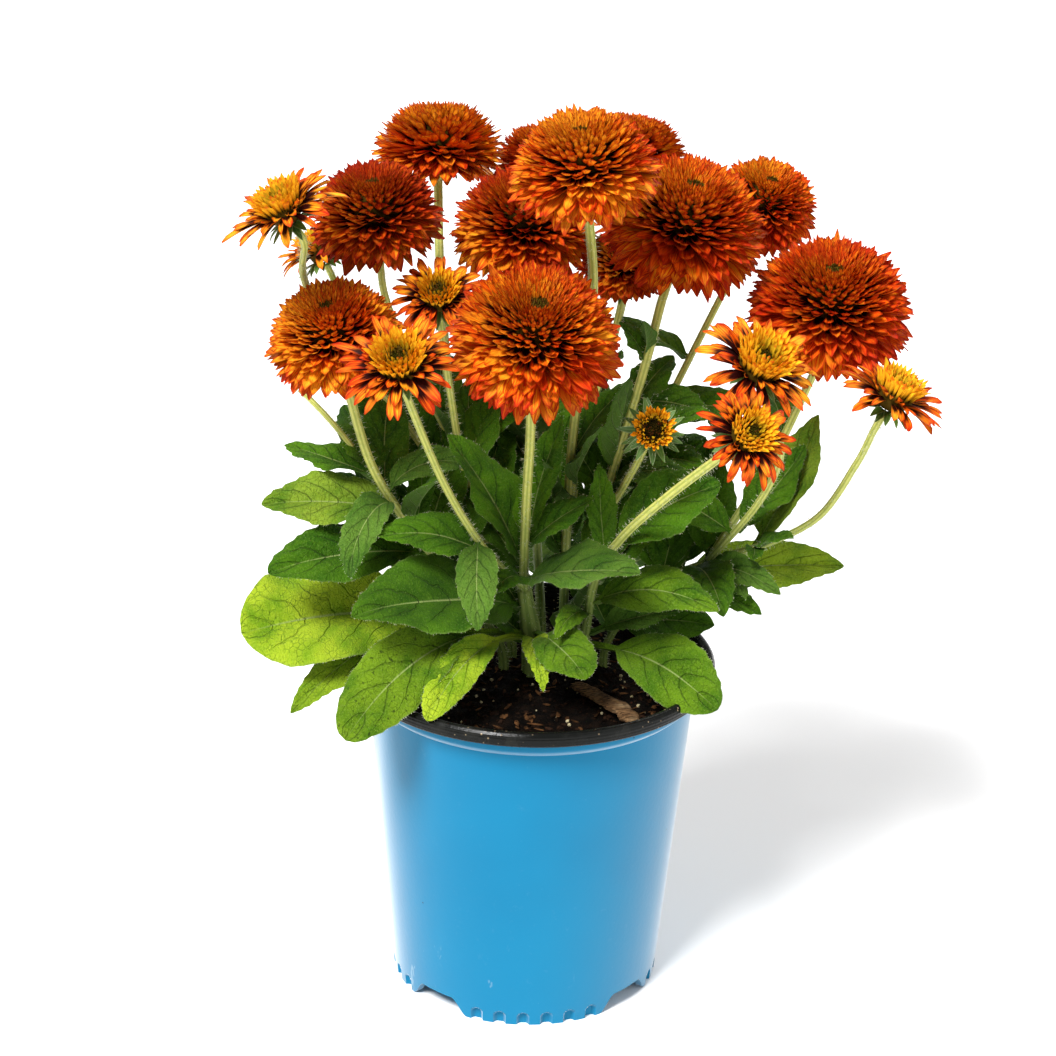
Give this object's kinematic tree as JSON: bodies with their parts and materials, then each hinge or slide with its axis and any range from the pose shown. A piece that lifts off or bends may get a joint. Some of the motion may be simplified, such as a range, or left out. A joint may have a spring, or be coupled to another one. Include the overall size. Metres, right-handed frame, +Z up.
{
  "type": "potted black-eyed susan",
  "caption": "Flowering perennial with double, pompom-like orange blooms on leafy stems, growing in a round footed plastic nursery pot filled with soil.",
  "frame": {"origin": "middle of the pot's underside, on the ground that the pot stands on", "axes": "+Z up along the pot's axis, -Y towards the front of the plant as pictured, +X to the right seen from the front"},
  "size_m": [0.2946, 0.261, 0.4184],
  "materials": {
    "pot": "glossy moulded, mid blue outside, black lip and inside",
    "soil": "damp dark potting mix of peat and bark crumbs",
    "bark": "dry, fibrous",
    "foliage": "matte, softly hairy, pale midribs and stems",
    "petal": "satin, orange to red with near-black bases",
    "eye_dark": "matte, tightly packed florets",
    "eye_pale": "matte, tightly packed florets"
  },
  "bodies": {
    "root": {"pot": "pot", "soil": "soil", "bark_strip": "bark", "shoot_centre": "foliage", "shoot_left": "foliage", "shoot_back_left": "foliage", "shoot_back": "foliage", "shoot_middle": "foliage", "shoot_back_right": "foliage", "shoot_front_right": "foliage", "shoot_right": "foliage", "bloom_01": "petal", "eye_01": "eye_dark", "bloom_02": "petal", "eye_02": "eye_pale", "bloom_03": "petal", "eye_03": "eye_dark", "bloom_04": "petal", "eye_04": "eye_dark", "bloom_05": "petal", "eye_05": "eye_dark", "bloom_06": "petal", "eye_06": "eye_dark", "bloom_07": "petal", "eye_07": "eye_dark", "bloom_08": "petal", "eye_08": "eye_dark", "bloom_09": "petal", "eye_09": "eye_dark", "bloom_10": "petal", "eye_10": "eye_dark", "bloom_11": "petal", "eye_11": "eye_pale", "bloom_12": "petal", "eye_12": "eye_pale", "bloom_13": "petal", "eye_13": "eye_pale", "bloom_14": "petal", "eye_14": "eye_pale", "bloom_15": "petal", "eye_15": "eye_dark", "bloom_16": "petal", "eye_16": "eye_pale", "bloom_17": "petal", "eye_17": "eye_pale", "bloom_18": "petal", "eye_18": "eye_dark", "bloom_19": "petal", "eye_19": "eye_dark", "bloom_21": "petal", "eye_21": "eye_pale"}
  },
  "joints": []
}
